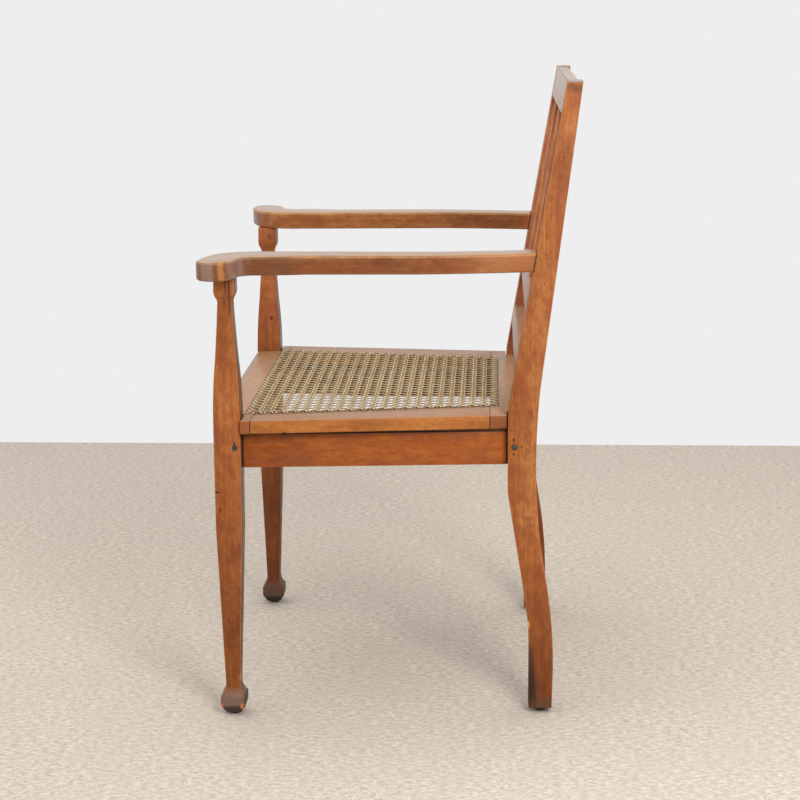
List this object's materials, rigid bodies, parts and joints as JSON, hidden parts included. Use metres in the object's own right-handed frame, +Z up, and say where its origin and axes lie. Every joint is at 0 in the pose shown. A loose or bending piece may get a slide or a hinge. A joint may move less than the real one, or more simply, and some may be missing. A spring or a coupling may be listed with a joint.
{
  "type": "armchair",
  "caption": "Wooden armchair with a caned seat, square tapered legs, level arms with scroll grips and a raked open back with upright slats.",
  "frame": {"origin": "on the floor under the middle of the overall box", "axes": "+Z up, the chair faces -Y, +X to the sitter's left"},
  "size_m": [0.657, 0.534, 0.93],
  "materials": {
    "frame_wood": "satin oiled hardwood",
    "cane": "aged rattan cane",
    "glide": "dark, matte",
    "steel": "aged steel",
    "peg_wood": "dark, end grain"
  },
  "bodies": {
    "root": {"front_leg_left": "frame_wood", "front_leg_right": "frame_wood", "rear_post_left": "frame_wood", "rear_post_right": "frame_wood", "arm_left": "frame_wood", "arm_right": "frame_wood", "side_rail_left": "frame_wood", "side_rail_right": "frame_wood", "front_rail": "frame_wood", "rear_rail": "frame_wood", "crest_rail": "frame_wood", "mid_back_rail": "frame_wood", "lower_back_rail": "frame_wood", "back_slat_left": "frame_wood", "back_slat_right": "frame_wood", "seat_frame_front": "frame_wood", "seat_frame_rear": "frame_wood", "seat_frame_left": "frame_wood", "seat_frame_right": "frame_wood", "corner_block_front_left": "frame_wood", "corner_block_front_right": "frame_wood", "corner_block_rear_left": "frame_wood", "corner_block_rear_right": "frame_wood", "cane_panel": "cane", "cane_binder": "cane", "glide_front_left": "glide", "glide_front_right": "glide", "glide_rear_left": "glide", "glide_rear_right": "glide", "seat_screws": "steel", "post_bolts": "steel", "leg_pegs": "peg_wood"}
  },
  "joints": []
}
